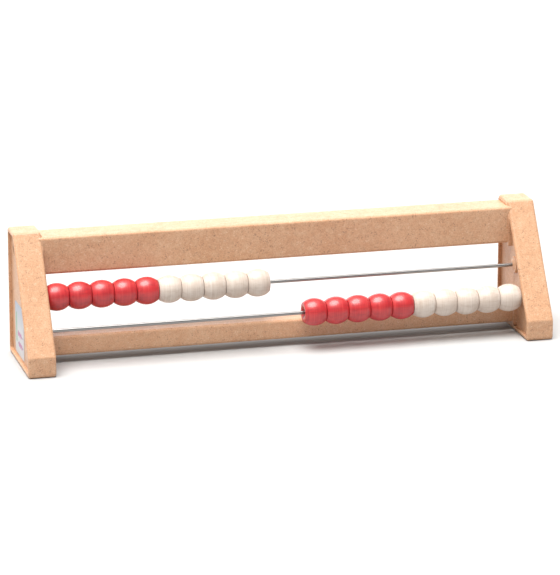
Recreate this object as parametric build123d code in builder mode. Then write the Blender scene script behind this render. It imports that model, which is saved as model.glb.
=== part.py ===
"""Two-rod counting frame: ten beads on each rod, held between two trapezoid end supports.

Lengths are in millimetres. X runs along the rods, Y runs from the front to the back and Z is up.
The origin is the middle of the footprint, on the surface that the frame stands on.
"""

from build123d import *
import os

# ---- End supports ----
SPAN = 266.0                    # between the two supports' inner rim faces
SUPPORT_THICKNESS = 15.5
SUPPORT_HEIGHT = 71.0
SUPPORT_DEPTH = 55.5            # at the foot
SUPPORT_TOP_DEPTH = 16.7
TOE_HEIGHT = 11.4               # short upright front below the slope
OUTLINE_RADIUS = 2.0            # corners of the side outline
EDGE_RADIUS = 1.5               # edges around both faces
RIM_WIDTH = 2.3                 # raised rim around the recess in each face
RIM_BREAK = 0.35                # rounding of the rim's inner edge
RECESS_DEPTH = 1.8
RECESS_RADIUS = 1.2

# ---- Rails ----
TOP_RAIL_DEPTH = 18.6
TOP_RAIL_HEIGHT = 20.8
TOP_RAIL_BACK_GAP = 0.9         # from the supports' back faces to the rail's
TOP_RAIL_DROP = 2.8             # from the supports' tops to the rail's
BOTTOM_RAIL_DEPTH = 16.0
BOTTOM_RAIL_HEIGHT = 10.9
BOTTOM_RAIL_SETBACK = 25.0      # behind the toes' fronts
BOTTOM_RAIL_LIFT = 4.3          # above the standing surface
RAIL_EDGE_RADIUS = 1.5
COLLAR_WALL = 1.6               # raised wall around each rail's end
COLLAR_HEIGHT = 2.2             # above the recess's floor
COLLAR_RADIUS = 1.0

# ---- Rods and the bosses that hold them ----
ROD_RADIUS = 1.0
ROD_CHAMFER = 0.25
UPPER_ROD_SETBACK = 28.0        # behind the toes' fronts
UPPER_ROD_HEIGHT = 36.9
LOWER_ROD_SETBACK = 16.0
LOWER_ROD_HEIGHT = 21.5
BOSS_RADIUS = 4.8
BOSS_HEIGHT = 1.4
BOSS_ROUNDING = 0.4
NOSE_RADIUS = 3.6               # low cone on the boss, which fits inside a bead's dished end
NOSE_TIP_RADIUS = 2.2
NOSE_HEIGHT = 0.6
SOCKET_DEPTH = 7.5              # below the boss's face
SOCKET_CLEARANCE = 0.02

# ---- Beads ----
BEADS_PER_ROD = 10
BEAD_RADIUS = 7.65
BEAD_LENGTH = 12.25
BEAD_GAP = 0.25                 # to the next bead, and to the boss
BEAD_END_RADIUS = 5.5           # where the barrel meets the flat end
BEAD_END_ROUNDING = 0.5
BEAD_DISH_RADIUS = 3.8          # mouth of the dished end
BEAD_DISH_ROUNDING = 0.3
BEAD_DISH_DEPTH = 1.3
BEAD_HOLE_CLEARANCE = 0.08      # radial, on the rod

# ---- Screws, one into each end of each rail ----
SCREW_RADIUS = 1.75
SCREW_HOLE_CLEARANCE = 0.1
SCREW_PILOT_CLEARANCE = 0.02
SCREW_IN_RAIL = 16.0            # length inside the rail
TOP_SCREW_LIFT = 2.7            # above the middle of the top rail
SCREW_TIP_LENGTH = 4.0
SCREW_TIP_RADIUS = 0.3
HEAD_RADIUS = 3.4
HEAD_HEIGHT = 2.2
HEAD_ROUNDING = 0.9
HEAD_SINK = 0.4                 # below the recess's floor
HEAD_SEAT_CLEARANCE = 0.4
CROSS_LENGTH = 4.2
CROSS_WIDTH = 0.9
CROSS_DEPTH = 1.2

# ---- Label, in the left support's outer recess ----
LABEL_DEPTH = 24.0
LABEL_HEIGHT = 28.5
LABEL_THICKNESS = 0.2
LABEL_RADIUS = 1.5
LABEL_BACK_GAP = 11.0           # from the support's back face
LABEL_LIFT = 3.7                # above the standing surface

POSITION_TOLERANCE = 0.01

# ---- Places along X, worked out from the sizes above ----
rim_face = SPAN / 2
outer_face = rim_face + SUPPORT_THICKNESS
inner_web = rim_face + RECESS_DEPTH
outer_web = outer_face - RECESS_DEPTH
boss_face = inner_web - BOSS_HEIGHT
nose_face = boss_face - NOSE_HEIGHT
rod_end = boss_face + SOCKET_DEPTH
head_top = outer_web - HEAD_SINK

# ---- Places in the side view, as (Y, Z) ----
front = -SUPPORT_DEPTH / 2
back = SUPPORT_DEPTH / 2
rod_places = {
    "upper": (front + UPPER_ROD_SETBACK, UPPER_ROD_HEIGHT),
    "lower": (front + LOWER_ROD_SETBACK, LOWER_ROD_HEIGHT),
}
top_rail_place = (
    back - TOP_RAIL_BACK_GAP - TOP_RAIL_DEPTH / 2,
    SUPPORT_HEIGHT - TOP_RAIL_DROP - TOP_RAIL_HEIGHT / 2,
)
bottom_rail_place = (
    front + BOTTOM_RAIL_SETBACK + BOTTOM_RAIL_DEPTH / 2,
    BOTTOM_RAIL_LIFT + BOTTOM_RAIL_HEIGHT / 2,
)
screw_places = {
    "top": (top_rail_place[0], top_rail_place[1] + TOP_SCREW_LIFT),
    "bottom": bottom_rail_place,
}
label_place = (
    back - LABEL_BACK_GAP - LABEL_DEPTH / 2,
    LABEL_LIFT + LABEL_HEIGHT / 2,
)


def side_outline(inset, corner_radius):
    """The support seen from the side, drawn in from its edge by inset."""
    with BuildSketch() as outline:
        with BuildLine():
            Polyline(
                (front, 0),
                (front, TOE_HEIGHT),
                (back - SUPPORT_TOP_DEPTH, SUPPORT_HEIGHT),
                (back, SUPPORT_HEIGHT),
                (back, 0),
                close=True,
            )
        make_face()
        if inset:
            offset(amount=-inset, kind=Kind.INTERSECTION, mode=Mode.REPLACE)
        fillet(outline.vertices(), corner_radius)
    return outline.sketch


def rail_section(place, depth, height):
    """A rail's cross-section, with rounded corners."""
    with BuildSketch() as section:
        with Locations(place):
            RectangleRounded(depth, height, RAIL_EDGE_RADIUS)
    return section.sketch


def collar_section(place, depth, height):
    """The outside of the raised wall around a rail's end, kept off the support's rounded edges."""
    with BuildSketch() as section:
        with Locations(place):
            RectangleRounded(depth + 2 * COLLAR_WALL, height + 2 * COLLAR_WALL, COLLAR_RADIUS)
        add(side_outline(EDGE_RADIUS, RECESS_RADIUS), mode=Mode.INTERSECT)
    return section.sketch


def notch_section():
    """The top rail's section, run out through the support's back."""
    overrun = 2 * TOP_RAIL_BACK_GAP + 2 * RAIL_EDGE_RADIUS
    middle_y, middle_z = top_rail_place
    return rail_section((middle_y + overrun / 2, middle_z), TOP_RAIL_DEPTH + overrun, TOP_RAIL_HEIGHT)


# ---- The left support, and its mirror image ----
with BuildPart() as left_support:
    with BuildSketch(Plane.YZ.offset(-outer_face)):
        add(side_outline(0, OUTLINE_RADIUS))
    extrude(amount=SUPPORT_THICKNESS)
    fillet(left_support.faces().sort_by(Axis.X)[0].edges(), EDGE_RADIUS)
    fillet(left_support.faces().sort_by(Axis.X)[-1].edges(), EDGE_RADIUS)

    # A recess in each face leaves the rim, whose inner edge is slightly rounded
    with BuildSketch(Plane.YZ.offset(-outer_face), Plane.YZ.offset(-inner_web)):
        add(side_outline(RIM_WIDTH, RECESS_RADIUS))
    extrude(amount=RECESS_DEPTH, mode=Mode.SUBTRACT)
    for rim in (
        left_support.faces().filter_by(Axis.X).sort_by(Axis.X)[0],
        left_support.faces().filter_by(Axis.X).sort_by(Axis.X)[-1],
    ):
        fillet(rim.inner_wires()[0].edges(), RIM_BREAK)

    # Collars around the rails' ends, then the room for the rails themselves
    with BuildSketch(Plane.YZ.offset(-inner_web)):
        add(collar_section(top_rail_place, TOP_RAIL_DEPTH, TOP_RAIL_HEIGHT))
        add(collar_section(bottom_rail_place, BOTTOM_RAIL_DEPTH, BOTTOM_RAIL_HEIGHT))
    extrude(amount=COLLAR_HEIGHT)
    with BuildSketch(Plane.YZ.offset(-inner_web)):
        add(notch_section())
        add(rail_section(bottom_rail_place, BOTTOM_RAIL_DEPTH, BOTTOM_RAIL_HEIGHT))
    extrude(amount=COLLAR_HEIGHT, mode=Mode.SUBTRACT)

    # Bosses with blind sockets for the rods
    with BuildSketch(Plane.YZ.offset(-inner_web)):
        with Locations(*rod_places.values()):
            Circle(BOSS_RADIUS)
    extrude(amount=BOSS_HEIGHT)
    boss_rims = left_support.edges().filter_by_position(
        Axis.X, -boss_face - POSITION_TOLERANCE, -boss_face + POSITION_TOLERANCE
    )
    fillet(boss_rims.filter_by(GeomType.CIRCLE), BOSS_ROUNDING)
    for rod_y, rod_z in rod_places.values():
        with Locations(Plane((-boss_face, rod_y, rod_z), z_dir=(1, 0, 0))):
            Cone(
                NOSE_RADIUS, NOSE_TIP_RADIUS, NOSE_HEIGHT, align=(Align.CENTER, Align.CENTER, Align.MIN)
            )
    with BuildSketch(Plane.YZ.offset(-nose_face)):
        with Locations(*rod_places.values()):
            Circle(ROD_RADIUS + SOCKET_CLEARANCE)
    extrude(amount=-NOSE_HEIGHT - SOCKET_DEPTH, mode=Mode.SUBTRACT)

    # Screw holes, each with a round seat for the head
    with BuildSketch(Plane.YZ.offset(-outer_web)):
        with Locations(*screw_places.values()):
            Circle(SCREW_RADIUS + SCREW_HOLE_CLEARANCE)
    extrude(amount=outer_web - inner_web, mode=Mode.SUBTRACT)
    with BuildSketch(Plane.YZ.offset(-outer_web)):
        with Locations(*screw_places.values()):
            Circle(HEAD_RADIUS + HEAD_SEAT_CLEARANCE)
    extrude(amount=HEAD_SINK + HEAD_HEIGHT, mode=Mode.SUBTRACT)

with BuildPart() as right_support:
    mirror(left_support.part, about=Plane.YZ)


def build_rail(place, depth, height, screw_place):
    """A rail from web to web, with a pilot hole for the screw in each end."""
    with BuildPart() as rail:
        with BuildSketch(Plane.YZ.offset(-inner_web)):
            add(rail_section(place, depth, height))
        extrude(amount=2 * inner_web)
        with BuildSketch(Plane.YZ.offset(-inner_web), Plane.YZ.offset(inner_web - SCREW_IN_RAIL)):
            with Locations(screw_place):
                Circle(SCREW_RADIUS + SCREW_PILOT_CLEARANCE)
        extrude(amount=SCREW_IN_RAIL, mode=Mode.SUBTRACT)
    return rail.part


def build_rod(place):
    """A steel rod between the bottoms of its two sockets."""
    with BuildPart() as rod:
        with BuildSketch(Plane.YZ.offset(-rod_end)):
            with Locations(place):
                Circle(ROD_RADIUS)
        extrude(amount=2 * rod_end)
        chamfer(rod.edges().filter_by(GeomType.CIRCLE), ROD_CHAMFER)
    return rod.part


# ---- One bead, centred on the origin with its hole along X ----
bead_half = BEAD_LENGTH / 2
hole_half = bead_half - BEAD_DISH_DEPTH
hole_radius = ROD_RADIUS + BEAD_HOLE_CLEARANCE
with BuildPart() as bead:
    with BuildSketch() as bead_section:
        with BuildLine():
            ThreePointArc((-bead_half, BEAD_END_RADIUS), (0, BEAD_RADIUS), (bead_half, BEAD_END_RADIUS))
            Polyline(
                (bead_half, BEAD_END_RADIUS),
                (bead_half, BEAD_DISH_RADIUS),
                (hole_half, hole_radius),
                (-hole_half, hole_radius),
                (-bead_half, BEAD_DISH_RADIUS),
                (-bead_half, BEAD_END_RADIUS),
            )
        make_face()
        corners_outward = bead_section.vertices().group_by(Axis.Y)
        fillet(corners_outward[-1], BEAD_END_ROUNDING)
        fillet(corners_outward[1], BEAD_DISH_ROUNDING)
    revolve(axis=Axis.X)

# ---- One screw, driven along +X, with the top of its head at the origin ----
screw_length = head_top - inner_web + SCREW_IN_RAIL
with BuildPart() as screw:
    with BuildSketch() as screw_section:
        with BuildLine():
            Polyline(
                (0, 0),
                (0, HEAD_RADIUS),
                (HEAD_HEIGHT, HEAD_RADIUS),
                (HEAD_HEIGHT, SCREW_RADIUS),
                (screw_length - SCREW_TIP_LENGTH, SCREW_RADIUS),
                (screw_length, SCREW_TIP_RADIUS),
                (screw_length, 0),
                close=True,
            )
        make_face()
        head_edge = screw_section.vertices().sort_by_distance((0, HEAD_RADIUS))[0]
        fillet(head_edge, HEAD_ROUNDING)
    revolve(axis=Axis.X)
    with BuildSketch(Plane.YZ):
        SlotOverall(CROSS_LENGTH, CROSS_WIDTH)
        SlotOverall(CROSS_LENGTH, CROSS_WIDTH, rotation=90)
    extrude(amount=CROSS_DEPTH, mode=Mode.SUBTRACT)

with BuildPart() as outer_label:
    with BuildSketch(Plane.YZ.offset(-outer_web - LABEL_THICKNESS)):
        with Locations(label_place):
            RectangleRounded(LABEL_DEPTH, LABEL_HEIGHT, LABEL_RADIUS)
    extrude(amount=LABEL_THICKNESS)

# ---- All the pieces, each under its own name ----
pieces = {
    "left_support": left_support.part,
    "right_support": right_support.part,
    "top_rail": build_rail(top_rail_place, TOP_RAIL_DEPTH, TOP_RAIL_HEIGHT, screw_places["top"]),
    "bottom_rail": build_rail(
        bottom_rail_place, BOTTOM_RAIL_DEPTH, BOTTOM_RAIL_HEIGHT, screw_places["bottom"]
    ),
    "outer_label": outer_label.part,
}
for level, (screw_y, screw_z) in screw_places.items():
    left_screw = screw.part.moved(Location((-head_top, screw_y, screw_z)))
    pieces[f"screw_{level}_left"] = left_screw
    pieces[f"screw_{level}_right"] = left_screw.mirror(Plane.YZ)

# At rest the upper row stands against the left bosses and the lower row against the right ones
bead_pitch = BEAD_LENGTH + BEAD_GAP
row_end = boss_face - BEAD_GAP - bead_half
first_bead_x = {"upper": -row_end, "lower": row_end - (BEADS_PER_ROD - 1) * bead_pitch}
for row, (rod_y, rod_z) in rod_places.items():
    pieces[f"{row}_rod"] = build_rod((rod_y, rod_z))
    for number in range(BEADS_PER_ROD):
        bead_x = first_bead_x[row] + number * bead_pitch
        pieces[f"{row}_bead_{number + 1:02d}"] = bead.part.moved(Location((bead_x, rod_y, rod_z)))

os.makedirs("parts", exist_ok=True)
for name, piece in pieces.items():
    piece.label = name
    export_step(piece, f"parts/{name}.step")
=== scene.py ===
"""The looks of the two-rod counting frame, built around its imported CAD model.

Lengths are in metres, in the CAD model's own frame: X along the rods, Y from front to back, Z up.
Colours are linear, and the scale of a noise counts its features per metre.
"""
import math
import random

import bmesh
import bpy
from mathutils import Matrix, Vector


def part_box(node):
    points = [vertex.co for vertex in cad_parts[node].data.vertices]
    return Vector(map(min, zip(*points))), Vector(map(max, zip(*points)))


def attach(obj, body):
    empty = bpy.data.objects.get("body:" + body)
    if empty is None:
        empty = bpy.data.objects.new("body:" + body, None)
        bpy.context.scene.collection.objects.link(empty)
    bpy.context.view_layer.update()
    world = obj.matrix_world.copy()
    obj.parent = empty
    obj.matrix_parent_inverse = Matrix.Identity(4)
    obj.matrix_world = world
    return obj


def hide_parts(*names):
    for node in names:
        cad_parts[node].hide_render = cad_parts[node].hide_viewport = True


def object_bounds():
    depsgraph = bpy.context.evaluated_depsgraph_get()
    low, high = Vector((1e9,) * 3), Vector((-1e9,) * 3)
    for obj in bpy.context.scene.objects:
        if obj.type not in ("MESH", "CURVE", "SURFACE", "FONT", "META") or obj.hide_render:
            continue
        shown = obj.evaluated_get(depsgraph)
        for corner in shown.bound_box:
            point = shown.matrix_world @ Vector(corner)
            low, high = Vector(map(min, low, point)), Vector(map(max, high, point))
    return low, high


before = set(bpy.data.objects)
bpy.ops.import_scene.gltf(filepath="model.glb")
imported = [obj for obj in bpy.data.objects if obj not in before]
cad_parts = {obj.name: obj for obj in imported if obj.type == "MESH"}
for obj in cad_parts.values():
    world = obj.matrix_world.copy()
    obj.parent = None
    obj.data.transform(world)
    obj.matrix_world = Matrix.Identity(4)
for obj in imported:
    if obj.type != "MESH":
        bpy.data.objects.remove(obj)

MM = 0.001
random.seed(20)

cad_low, cad_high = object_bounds()
centre_x = (cad_low.x + cad_high.x) / 2
object_height = cad_high.z - cad_low.z

# ---- Camera: in front, a little to the left and above ----
CAMERA_YAW = math.radians(14.99)
CAMERA_PITCH = math.radians(15.75)
CAMERA_ROLL = math.radians(0.11)
CAMERA_DISTANCE = 1.985
CAMERA_LENS = 234.75
CAMERA_SENSOR = 36.0
CAMERA_SHIFT = (-0.0286, -0.0170)
AIM_HEIGHT = 0.651              # of the object's height
CLIP_END = 30.0

# ---- Light ----
SKY_FRONT = 0.27                # brightness of the studio's walls in front of the object
SKY_BACK = 1.75                 # and of the bright wall behind it
SKY_SPAN = (-0.1, 0.9)          # Y of the direction at which each of the two is reached
KEY_STRENGTH = 6.1
KEY_SPREAD = math.radians(48)
KEY_COLOUR = (1.0, 0.985, 0.96)
KEY_FROM = (-0.16, -0.14, 1.0)  # the direction the light comes from: above, in front, a little left
FLOOR_SIZE = 40.0

# ---- Beads ----
BEAD_SEGMENTS = 96
BEAD_BARREL_STEPS = 30
BEAD_END_RADIUS = 5.5 * MM
BEAD_END_ROUNDING = 0.5 * MM
BEAD_DISH_RADIUS = 3.8 * MM
BEAD_DISH_ROUNDING = 0.3 * MM
BEAD_DISH_DEPTH = 1.3 * MM
BEAD_HOLE_RADIUS = 1.08 * MM
ARC_STEPS = 6
LATHE_WOBBLE = 0.035 * MM       # how far the turned barrel strays from its true curve
RED_BEADS = 5                   # the first ones of each row

# ---- Wood grain on the beads: stretched along X for grain, squeezed for rings ----
GRAIN_SCALE = (70.0, 640.0, 640.0)
RING_SCALE = (1500.0, 40.0, 40.0)
CLOUD_SCALE = (150.0, 150.0, 150.0)
GRAIN_SHIFT = 40.0              # furthest move of the grain from bead to bead, in noise units

# ---- Shading helpers ----
NOISE_LOW, NOISE_HIGH = 0.35, 0.65      # where nearly all of a noise's values lie
EDGE_SAMPLES = 4
EDGE_SHARP, EDGE_FLAT = 0.80, 0.99      # cosines of the turn between the rounded and the true normal

# ---- Colours ----
COMPOSITE_TONES = (0.560, 0.298, 0.163), (0.612, 0.346, 0.202)
COMPOSITE_PATCH = (0.64, 0.43, 0.28)
COMPOSITE_DARK_DUST = (0.34, 0.175, 0.095)
COMPOSITE_PALE_DUST = (0.74, 0.53, 0.36)
COMPOSITE_FIBRE = (0.32, 0.16, 0.088)
COMPOSITE_DARK_SPECK = (0.15, 0.065, 0.035)
COMPOSITE_PALE_SPECK = (0.78, 0.60, 0.44)
COMPOSITE_WORN = (0.68, 0.48, 0.33)

RED_TONES = (0.46, 0.010, 0.016), (0.55, 0.019, 0.023)
RED_GRAIN = (0.25, 0.006, 0.012)
RED_PALE_RING = (0.70, 0.085, 0.075)
RED_DARK_RING = (0.30, 0.007, 0.014)
RED_WORN = (0.66, 0.10, 0.09)

NATURAL_TONES = (0.572, 0.474, 0.402), (0.637, 0.548, 0.480)
NATURAL_GRAIN = (0.39, 0.28, 0.205)
NATURAL_PALE_RING = (0.75, 0.70, 0.645)
NATURAL_DARK_RING = (0.42, 0.32, 0.25)

STEEL_TONES = (0.285, 0.28, 0.275), (0.315, 0.31, 0.305)
STEEL_SMUDGE = (0.20, 0.185, 0.17)
ZINC_TONES = (0.32, 0.345, 0.385), (0.44, 0.46, 0.50)
ZINC_WORN = (0.60, 0.61, 0.62)
FLOOR_TONES = (0.46, 0.46, 0.463), (0.475, 0.475, 0.475)

# ---- Label, in shares of its width and height unless said otherwise ----
LABEL_TONES = (0.46, 0.46, 0.475), (0.52, 0.52, 0.535)
LABEL_BAND = (0.22, 0.29, 0.40)
LABEL_GREEN = (0.13, 0.34, 0.16)
LABEL_WIRE = (0.15, 0.07, 0.17)
LABEL_MAGENTA = (0.38, 0.04, 0.23)
LABEL_RUBBED = (0.50, 0.50, 0.51)
LABEL_ROWS = (0.42, 0.36), (0.22, 0.44)     # each row's height, and its first bead's place across
LABEL_SOFTNESS = 0.012          # blur of a printed edge
WIRE_HALF = 0.012               # half of a wire's width
WIRE_SOFTNESS = 0.006
DOTS_PER_ROW = 3
DOT_PITCH = 0.15
DOT_RADIUS = 1.55 * MM
DOT_BLUR = 0.20 * MM


# ---- Node helpers ---------------------------------------------------------------------------------

class Shader:
    """A material's node tree, with short calls for the nodes used here."""

    def __init__(self, name):
        self.material = bpy.data.materials.new(name)
        self.material.use_nodes = True
        self.tree = self.material.node_tree
        self.tree.nodes.clear()
        output = self.tree.nodes.new("ShaderNodeOutputMaterial")
        self.surface = self.tree.nodes.new("ShaderNodeBsdfPrincipled")
        self.tree.links.new(self.surface.outputs["BSDF"], output.inputs["Surface"])

    def set(self, **values):
        """Constants of the surface, by socket name with underscores for spaces."""
        for name, value in values.items():
            self.surface.inputs[name.replace("_", " ")].default_value = value

    def feed(self, socket, value):
        """Link an output, or write a constant, into a socket."""
        if isinstance(value, bpy.types.NodeSocket):
            self.tree.links.new(value, socket)
        elif value is not None:
            socket.default_value = value

    def place(self, scale=(1, 1, 1), shift=None):
        """The object's own coordinates in metres, stretched by scale, then shifted."""
        source = self.tree.nodes.new("ShaderNodeTexCoord").outputs["Object"]
        mapping = self.tree.nodes.new("ShaderNodeMapping")
        mapping.inputs["Scale"].default_value = scale
        self.feed(mapping.inputs["Vector"], source)
        if shift is None:
            return mapping.outputs["Vector"]
        return self.vector("ADD", mapping.outputs["Vector"], self.attribute(shift))

    def attribute(self, name):
        """A vector stored on the mesh."""
        node = self.tree.nodes.new("ShaderNodeAttribute")
        node.attribute_name = name
        return node.outputs["Vector"]

    def vector(self, operation, a, b):
        node = self.tree.nodes.new("ShaderNodeVectorMath")
        node.operation = operation
        self.feed(node.inputs[0], a)
        self.feed(node.inputs[1], b)
        is_number = operation in ("DISTANCE", "DOT_PRODUCT")
        return node.outputs["Value" if is_number else "Vector"]

    def axes(self, vector):
        node = self.tree.nodes.new("ShaderNodeSeparateXYZ")
        self.feed(node.inputs[0], vector)
        return node.outputs["X"], node.outputs["Y"], node.outputs["Z"]

    def noise(self, vector, scale=1.0, detail=2.0, roughness=0.5, distortion=0.0):
        node = self.tree.nodes.new("ShaderNodeTexNoise")
        self.feed(node.inputs["Vector"], vector)
        node.inputs["Scale"].default_value = scale
        node.inputs["Detail"].default_value = detail
        node.inputs["Roughness"].default_value = roughness
        node.inputs["Distortion"].default_value = distortion
        return node.outputs["Fac"]

    def cells(self, vector, scale):
        """Distance to the nearest of a scatter of points."""
        node = self.tree.nodes.new("ShaderNodeTexVoronoi")
        self.feed(node.inputs["Vector"], vector)
        node.inputs["Scale"].default_value = scale
        return node.outputs["Distance"]

    def math(self, operation, a, b):
        node = self.tree.nodes.new("ShaderNodeMath")
        node.operation = operation
        self.feed(node.inputs[0], a)
        self.feed(node.inputs[1], b)
        return node.outputs[0]

    def span(self, value, low, high, to_low=0.0, to_high=1.0):
        """value from low..high to to_low..to_high, clamped."""
        node = self.tree.nodes.new("ShaderNodeMapRange")
        self.feed(node.inputs["Value"], value)
        node.inputs["From Min"].default_value = low
        node.inputs["From Max"].default_value = high
        node.inputs["To Min"].default_value = to_low
        node.inputs["To Max"].default_value = to_high
        return node.outputs["Result"]

    def mix(self, factor, a, b):
        node = self.tree.nodes.new("ShaderNodeMix")
        node.data_type = "RGBA"
        self.feed(node.inputs["Factor"], factor)
        self.feed(node.inputs["A"], rgba(a))
        self.feed(node.inputs["B"], rgba(b))
        return node.outputs["Result"]

    def ground(self, value, tones):
        """The lowest colour layer: the first tone where a noise is low, the second where it is high."""
        return self.mix(self.span(value, NOISE_LOW, NOISE_HIGH), *tones)

    def tint(self, colour, value, tone, start, full, strength):
        """tone laid over colour, from none where value is at start to strength where it is at full."""
        return self.mix(self.span(value, start, full, 0.0, strength), colour, tone)

    def cover(self, colour, mask, tone, strength):
        """tone laid over colour where mask is 1, by strength."""
        return self.mix(self.math("MULTIPLY", mask, strength), colour, tone)

    def bump(self, height, strength, distance, below=None):
        node = self.tree.nodes.new("ShaderNodeBump")
        node.inputs["Strength"].default_value = strength
        node.inputs["Distance"].default_value = distance
        self.feed(node.inputs["Height"], height)
        self.feed(node.inputs["Normal"], below)
        return node.outputs["Normal"]

    def edges(self, radius):
        """1 where a face turns sharply within radius, 0 on the flat."""
        bevel = self.tree.nodes.new("ShaderNodeBevel")
        bevel.samples = EDGE_SAMPLES
        bevel.inputs["Radius"].default_value = radius
        geometry = self.tree.nodes.new("ShaderNodeNewGeometry")
        same = self.vector("DOT_PRODUCT", bevel.outputs["Normal"], geometry.outputs["Normal"])
        return self.span(same, EDGE_SHARP, EDGE_FLAT, 1.0, 0.0)

    def done(self, colour, roughness, normal=None):
        self.feed(self.surface.inputs["Base Color"], colour)
        self.feed(self.surface.inputs["Roughness"], roughness)
        self.feed(self.surface.inputs["Normal"], normal)
        return self.material


def rgba(colour):
    """A colour with full alpha. An output passes through as it is."""
    return (*colour, 1.0) if isinstance(colour, tuple) else colour


# ---- Materials ------------------------------------------------------------------------------------

def make_composite():
    """Matt moulded wood composite: warm tan, mottled, with fine dark and pale fibre specks."""
    s = Shader("wood_composite")
    place = s.place()
    broad = s.noise(place, scale=55.0, detail=3.0, roughness=0.55)
    patches = s.noise(place, scale=330.0, detail=3.0, roughness=0.6)
    dust = s.noise(place, scale=1500.0, roughness=0.6)
    fibres = s.noise(s.place((1.0, 1.0, 2.0)), scale=820.0, roughness=0.6, distortion=0.6)
    colour = s.ground(broad, COMPOSITE_TONES)
    colour = s.tint(colour, patches, COMPOSITE_PATCH, start=0.42, full=0.70, strength=0.35)
    colour = s.tint(colour, dust, COMPOSITE_DARK_DUST, start=0.50, full=0.72, strength=0.42)
    colour = s.tint(colour, dust, COMPOSITE_PALE_DUST, start=0.48, full=0.28, strength=0.36)
    colour = s.tint(colour, fibres, COMPOSITE_FIBRE, start=0.56, full=0.68, strength=0.34)

    # Specks: a scatter of dots, of which a second noise picks the dark ones and the pale ones.
    dots = s.cells(place, 980.0)
    pick = s.noise(place, scale=420.0, detail=1.0)
    dark_dots = s.span(dots, 0.26, 0.42, to_low=1.0, to_high=0.0)
    pale_dots = s.span(dots, 0.24, 0.40, to_low=1.0, to_high=0.0)
    dark_specks = s.math("MULTIPLY", dark_dots, s.span(pick, 0.57, 0.65))
    pale_specks = s.math("MULTIPLY", pale_dots, s.span(pick, 0.43, 0.36))
    colour = s.cover(colour, dark_specks, COMPOSITE_DARK_SPECK, strength=0.50)
    colour = s.cover(colour, pale_specks, COMPOSITE_PALE_SPECK, strength=0.40)

    handled = s.span(s.noise(place, scale=240.0), 0.40, 0.62, to_low=0.15, to_high=0.75)
    worn = s.math("MULTIPLY", s.edges(0.9 * MM), handled)
    colour = s.cover(colour, worn, COMPOSITE_WORN, strength=0.45)
    polish = s.math("ADD", patches, s.math("MULTIPLY", worn, -0.2))
    roughness = s.span(polish, 0.25, 0.75, to_low=0.48, to_high=0.33)
    texture = s.noise(place, scale=900.0, detail=3.0, roughness=0.6)
    normal = s.bump(texture, strength=0.16, distance=0.25 * MM)
    normal = s.bump(dark_specks, strength=0.22, distance=-0.06 * MM, below=normal)
    s.set(IOR=1.48, Specular_IOR_Level=0.5)
    return s.done(colour, roughness, normal)


def turned_wood(s):
    """Grain along the hole, fine lathe rings around it and soft clouds, different on every bead."""
    grain = s.noise(s.place(GRAIN_SCALE, "grain_shift"), detail=4.0, roughness=0.62, distortion=0.35)
    rings = s.noise(s.place(RING_SCALE, "grain_shift"), detail=3.0, roughness=0.65)
    cloud = s.noise(s.place(CLOUD_SCALE, "grain_shift"))
    return grain, rings, cloud


def make_red_bead():
    """Red stain under clear satin lacquer, with the wood's grain just showing."""
    s = Shader("red_lacquered_wood")
    grain, rings, cloud = turned_wood(s)
    colour = s.ground(cloud, RED_TONES)
    colour = s.tint(colour, grain, RED_GRAIN, start=0.48, full=0.74, strength=0.60)
    colour = s.tint(colour, rings, RED_PALE_RING, start=0.50, full=0.70, strength=0.32)
    colour = s.tint(colour, rings, RED_DARK_RING, start=0.50, full=0.32, strength=0.30)
    worn = s.math("MULTIPLY", s.edges(0.5 * MM), s.span(cloud, 0.42, 0.60))
    colour = s.cover(colour, worn, RED_WORN, strength=0.35)
    roughness = s.span(rings, 0.3, 0.7, to_low=0.44, to_high=0.58)
    normal = s.bump(rings, strength=0.34, distance=0.12 * MM)
    normal = s.bump(grain, strength=0.16, distance=0.05 * MM, below=normal)
    s.set(Coat_Weight=0.70, Coat_Roughness=0.25, Coat_IOR=1.5)
    return s.done(colour, roughness, normal)


def make_natural_bead():
    """Pale turned wood under clear satin lacquer."""
    s = Shader("natural_lacquered_wood")
    grain, rings, cloud = turned_wood(s)
    colour = s.ground(cloud, NATURAL_TONES)
    colour = s.tint(colour, grain, NATURAL_GRAIN, start=0.48, full=0.76, strength=0.50)
    colour = s.tint(colour, rings, NATURAL_PALE_RING, start=0.50, full=0.72, strength=0.40)
    colour = s.tint(colour, rings, NATURAL_DARK_RING, start=0.48, full=0.30, strength=0.30)
    roughness = s.span(rings, 0.3, 0.7, to_low=0.44, to_high=0.56)
    normal = s.bump(rings, strength=0.24, distance=0.10 * MM)
    normal = s.bump(grain, strength=0.18, distance=0.05 * MM, below=normal)
    s.set(Coat_Weight=0.35, Coat_Roughness=0.42, Coat_IOR=1.5)
    return s.done(colour, roughness, normal)


def make_rod_steel():
    """Drawn bright steel, with faint lines along its length and slight smudges."""
    s = Shader("drawn_steel")
    lines = s.noise(s.place((60.0, 2600.0, 2600.0)), roughness=0.6)
    smudge = s.noise(s.place(), scale=160.0, detail=3.0, roughness=0.6)
    colour = s.ground(lines, STEEL_TONES)
    colour = s.tint(colour, smudge, STEEL_SMUDGE, start=0.50, full=0.70, strength=0.14)
    finish = s.math("ADD", smudge, s.math("MULTIPLY", lines, 0.4))
    s.set(Metallic=1.0)
    return s.done(colour, s.span(finish, 0.5, 0.9, to_low=0.29, to_high=0.35))


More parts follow.
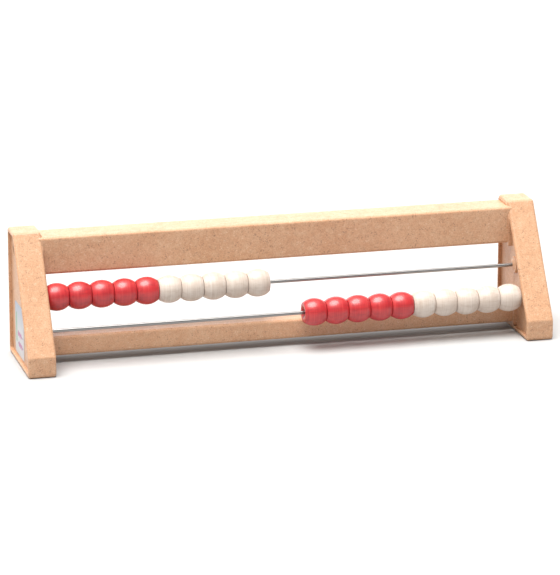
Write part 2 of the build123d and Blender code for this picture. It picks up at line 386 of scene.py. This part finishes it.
def make_screw_zinc():
    """Zinc plate: bluish grey, cloudy, worn brighter on the edges of the cross."""
    s = Shader("zinc_plate")
    cloud = s.noise(s.place(), scale=700.0, detail=3.0, roughness=0.6)
    colour = s.ground(cloud, ZINC_TONES)
    colour = s.cover(colour, s.edges(0.25 * MM), ZINC_WORN, strength=0.6)
    roughness = s.span(cloud, 0.3, 0.7, to_low=0.26, to_high=0.42)
    s.set(Metallic=1.0)
    return s.done(colour, roughness, s.bump(cloud, strength=0.10, distance=0.04 * MM))


def within(s, value, start, end, soft=LABEL_SOFTNESS):
    """1 where value lies between start and end, with soft edges."""
    rising = s.span(value, start - soft, start + soft)
    falling = s.span(value, end - soft, end + soft, 1.0, 0.0)
    return s.math("MULTIPLY", rising, falling)


def make_label():
    """Printed film: a pale ground, a cool band at the top, a green bar and rows of magenta beads."""
    s = Shader("printed_label")
    low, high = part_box("outer_label")
    width, height = high.y - low.y, high.z - low.z
    place = s.place()
    _, y, z = s.axes(place)
    across = s.span(y, high.y, low.y)
    up = s.span(z, low.z, high.z)
    paper = s.noise(place, scale=900.0, detail=3.0, roughness=0.6)
    colour = s.ground(paper, LABEL_TONES)
    colour = s.tint(colour, up, LABEL_BAND, start=0.52, full=1.0, strength=0.75)
    bar = s.math("MULTIPLY", within(s, across, 0.10, 0.22), within(s, up, 0.22, 0.80))
    colour = s.cover(colour, bar, LABEL_GREEN, strength=0.85)
    for row_up, first_across in LABEL_ROWS:
        row = within(s, up, row_up - WIRE_HALF, row_up + WIRE_HALF, WIRE_SOFTNESS)
        wire = s.math("MULTIPLY", within(s, across, 0.30, 0.92), row)
        colour = s.cover(colour, wire, LABEL_WIRE, strength=0.8)
        for index in range(DOTS_PER_ROW):
            dot_y = high.y - (first_across + index * DOT_PITCH) * width
            dot_z = low.z + row_up * height
            flat = s.vector("MULTIPLY", place, (0.0, 1.0, 1.0))
            reach = s.vector("DISTANCE", flat, (0.0, dot_y, dot_z))
            dot = s.span(reach, DOT_RADIUS, DOT_RADIUS + DOT_BLUR, 1.0, 0.0)
            colour = s.cover(colour, dot, LABEL_MAGENTA, strength=0.9)
    rub = s.noise(place, scale=300.0, detail=4.0, roughness=0.7)
    colour = s.tint(colour, rub, LABEL_RUBBED, start=0.60, full=0.72, strength=0.35)
    roughness = s.span(paper, 0.3, 0.7, to_low=0.30, to_high=0.42)
    return s.done(colour, roughness, s.bump(paper, strength=0.08, distance=0.03 * MM))


def make_floor():
    """Pale matt floor, very slightly uneven in tone."""
    s = Shader("studio_floor")
    tone = s.noise(s.place(), scale=3.0, detail=3.0)
    colour = s.mix(s.span(tone, 0.3, 0.7), *FLOOR_TONES)
    return s.done(colour, s.span(tone, 0.3, 0.7, to_low=0.75, to_high=0.85))


# ---- Pieces ---------------------------------------------------------------------------------------

def quarter_turn(centre, radius, start, end):
    """Points (x, r) of an arc about centre, from one angle to another."""
    points = []
    for step in range(ARC_STEPS + 1):
        angle = start + (end - start) * step / ARC_STEPS
        x = centre[0] + radius * math.cos(angle)
        points.append((x, centre[1] + radius * math.sin(angle)))
    return points


def bead_profile(half, radius):
    """The closed outline (x, r) of a bead on one side of its axis.

    It runs along the barrel, around the right end's rim and dish to the hole, and back by the left end.
    """
    sag = radius - BEAD_END_RADIUS
    barrel_radius = (half * half + sag * sag) / (2 * sag)
    barrel_centre = radius - barrel_radius
    rim_x = half - BEAD_END_ROUNDING
    rim_reach = barrel_radius - BEAD_END_ROUNDING
    rim_r = barrel_centre + math.sqrt(rim_reach * rim_reach - rim_x * rim_x)
    tangent = math.atan2(rim_r - barrel_centre, rim_x)
    barrel = []
    for step in range(BEAD_BARREL_STEPS + 1):
        angle = math.pi - tangent + (2 * tangent - math.pi) * step / BEAD_BARREL_STEPS
        x = barrel_radius * math.cos(angle)
        barrel.append((x, barrel_centre + barrel_radius * math.sin(angle)))
    rim = quarter_turn((rim_x, rim_r), BEAD_END_ROUNDING, tangent, 0.0)[1:]
    dish_slope = math.atan2(BEAD_DISH_DEPTH, BEAD_DISH_RADIUS - BEAD_HOLE_RADIUS)
    lip_r = BEAD_DISH_RADIUS + BEAD_DISH_ROUNDING * math.tan(dish_slope / 2)
    lip = quarter_turn((half - BEAD_DISH_ROUNDING, lip_r), BEAD_DISH_ROUNDING, 0.0, -dish_slope)
    throat = [(half - BEAD_DISH_DEPTH, BEAD_HOLE_RADIUS)]
    right_end = rim + lip + throat
    left_end = [(-x, r) for x, r in reversed(right_end)]
    return barrel + right_end + left_end


def build_bead(node, material):
    """A turned bead in the place of the CAD node, with its own slight wobble and grain."""
    low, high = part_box(node)
    middle = (low + high) / 2
    half = (high.x - low.x) / 2
    profile = bead_profile(half, (high.z - low.z) / 2)
    # The third draw is spare.
    around, along, _ = [random.uniform(0.0, math.tau) for _ in range(3)]
    mesh_data = bmesh.new()
    rings = []
    for x, r in profile:
        ring = []
        on_barrel = r > BEAD_END_RADIUS
        for segment in range(BEAD_SEGMENTS):
            angle = math.tau * segment / BEAD_SEGMENTS
            sway = math.sin(2 * angle + around) + math.sin(x / half * math.pi + along)
            # sway runs from -2 to 2. The stray is only inwards, so no bead outgrows its solid.
            stray = LATHE_WOBBLE * (sway - 2.0) / 4 if on_barrel else 0.0
            reach = r + stray
            point = (x, reach * math.cos(angle), reach * math.sin(angle))
            ring.append(mesh_data.verts.new(point))
        rings.append(ring)
    for near, far in zip(rings, rings[1:] + rings[:1]):
        for segment in range(BEAD_SEGMENTS):
            following = (segment + 1) % BEAD_SEGMENTS
            corners = near[segment], near[following], far[following], far[segment]
            mesh_data.faces.new(corners)
    bmesh.ops.recalc_face_normals(mesh_data, faces=mesh_data.faces)
    mesh = bpy.data.meshes.new(node)
    mesh_data.to_mesh(mesh)
    mesh_data.free()
    mesh.transform(Matrix.Rotation(random.uniform(0.0, math.tau), 4, "X"))
    for face in mesh.polygons:
        face.use_smooth = True
    shift = mesh.attributes.new("grain_shift", "FLOAT_VECTOR", "POINT")
    offset = [random.uniform(-GRAIN_SHIFT, GRAIN_SHIFT) for _ in range(3)]
    shift.data.foreach_set("vector", offset * len(mesh.vertices))
    mesh.materials.append(material)
    piece = bpy.data.objects.new(node + "_turned", mesh)
    piece.location = middle
    bpy.context.scene.collection.objects.link(piece)
    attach(piece, node)
    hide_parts(node)


def dress(node, material):
    """Gives a CAD node its material."""
    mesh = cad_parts[node].data
    mesh.materials.clear()
    mesh.materials.append(material)


composite = make_composite()
for node in ("left_support", "right_support", "top_rail", "bottom_rail"):
    dress(node, composite)
rod_steel = make_rod_steel()
for node in ("upper_rod", "lower_rod"):
    dress(node, rod_steel)
screw_zinc = make_screw_zinc()
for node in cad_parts:
    if node.startswith("screw"):
        dress(node, screw_zinc)
dress("outer_label", make_label())

red_bead = make_red_bead()
natural_bead = make_natural_bead()
for row in ("upper", "lower"):
    row_nodes = sorted(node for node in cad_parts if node.startswith(row + "_bead"))
    for index, node in enumerate(row_nodes):
        if index < RED_BEADS:
            build_bead(node, red_bead)
        else:
            build_bead(node, natural_bead)


# ---- Studio ---------------------------------------------------------------------------------------

def build_floor():
    """A wide level sheet under the object's feet."""
    mesh = bpy.data.meshes.new("floor")
    half = FLOOR_SIZE / 2
    corners = [(-half, -half, 0), (half, -half, 0), (half, half, 0), (-half, half, 0)]
    mesh.from_pydata(corners, [], [(0, 1, 2, 3)])
    mesh.materials.append(make_floor())
    floor = bpy.data.objects.new("floor", mesh)
    floor.location.z = cad_low.z
    bpy.context.scene.collection.objects.link(floor)


def build_lights():
    """Walls that brighten towards the back, and one broad soft key light."""
    world = bpy.data.worlds.new("studio")
    world.use_nodes = True
    tree = world.node_tree
    direction = tree.nodes.new("ShaderNodeTexCoord")
    axes = tree.nodes.new("ShaderNodeSeparateXYZ")
    walls = tree.nodes.new("ShaderNodeMapRange")
    walls.interpolation_type = "SMOOTHSTEP"
    walls.inputs["From Min"].default_value = SKY_SPAN[0]
    walls.inputs["From Max"].default_value = SKY_SPAN[1]
    walls.inputs["To Min"].default_value = SKY_FRONT
    walls.inputs["To Max"].default_value = SKY_BACK
    tree.links.new(direction.outputs["Generated"], axes.inputs[0])
    tree.links.new(axes.outputs["Y"], walls.inputs["Value"])
    tree.links.new(walls.outputs["Result"], tree.nodes["Background"].inputs["Strength"])
    tree.nodes["Background"].inputs["Color"].default_value = (1.0, 1.0, 1.0, 1.0)
    bpy.context.scene.world = world
    light = bpy.data.lights.new("key", "SUN")
    light.energy = KEY_STRENGTH
    light.angle = KEY_SPREAD
    light.color = KEY_COLOUR
    key = bpy.data.objects.new("key", light)
    key.rotation_euler = Vector(KEY_FROM).to_track_quat("Z", "Y").to_euler()
    bpy.context.scene.collection.objects.link(key)


def build_camera():
    """A long lens far in front, aimed at the object's front, a little above its middle."""
    ahead = Vector((
        math.sin(CAMERA_YAW) * math.cos(CAMERA_PITCH),
        math.cos(CAMERA_YAW) * math.cos(CAMERA_PITCH),
        -math.sin(CAMERA_PITCH),
    ))
    level = Vector((math.cos(CAMERA_YAW), -math.sin(CAMERA_YAW), 0))
    upward = level.cross(ahead)
    right = level * math.cos(CAMERA_ROLL) + upward * math.sin(CAMERA_ROLL)
    up = upward * math.cos(CAMERA_ROLL) - level * math.sin(CAMERA_ROLL)
    target = Vector((centre_x, cad_low.y, cad_low.z + object_height * AIM_HEIGHT))
    data = bpy.data.cameras.new("camera")
    data.sensor_fit = "HORIZONTAL"
    data.sensor_width = CAMERA_SENSOR
    data.lens = CAMERA_LENS
    data.shift_x, data.shift_y = CAMERA_SHIFT
    data.clip_end = CLIP_END
    camera = bpy.data.objects.new("camera", data)
    turn = Matrix((right, up, -ahead)).transposed().to_4x4()
    camera.matrix_world = Matrix.Translation(target - ahead * CAMERA_DISTANCE) @ turn
    bpy.context.scene.collection.objects.link(camera)
    bpy.context.scene.camera = camera


build_floor()
build_lights()
build_camera()
bpy.context.scene.view_settings.view_transform = "Standard"
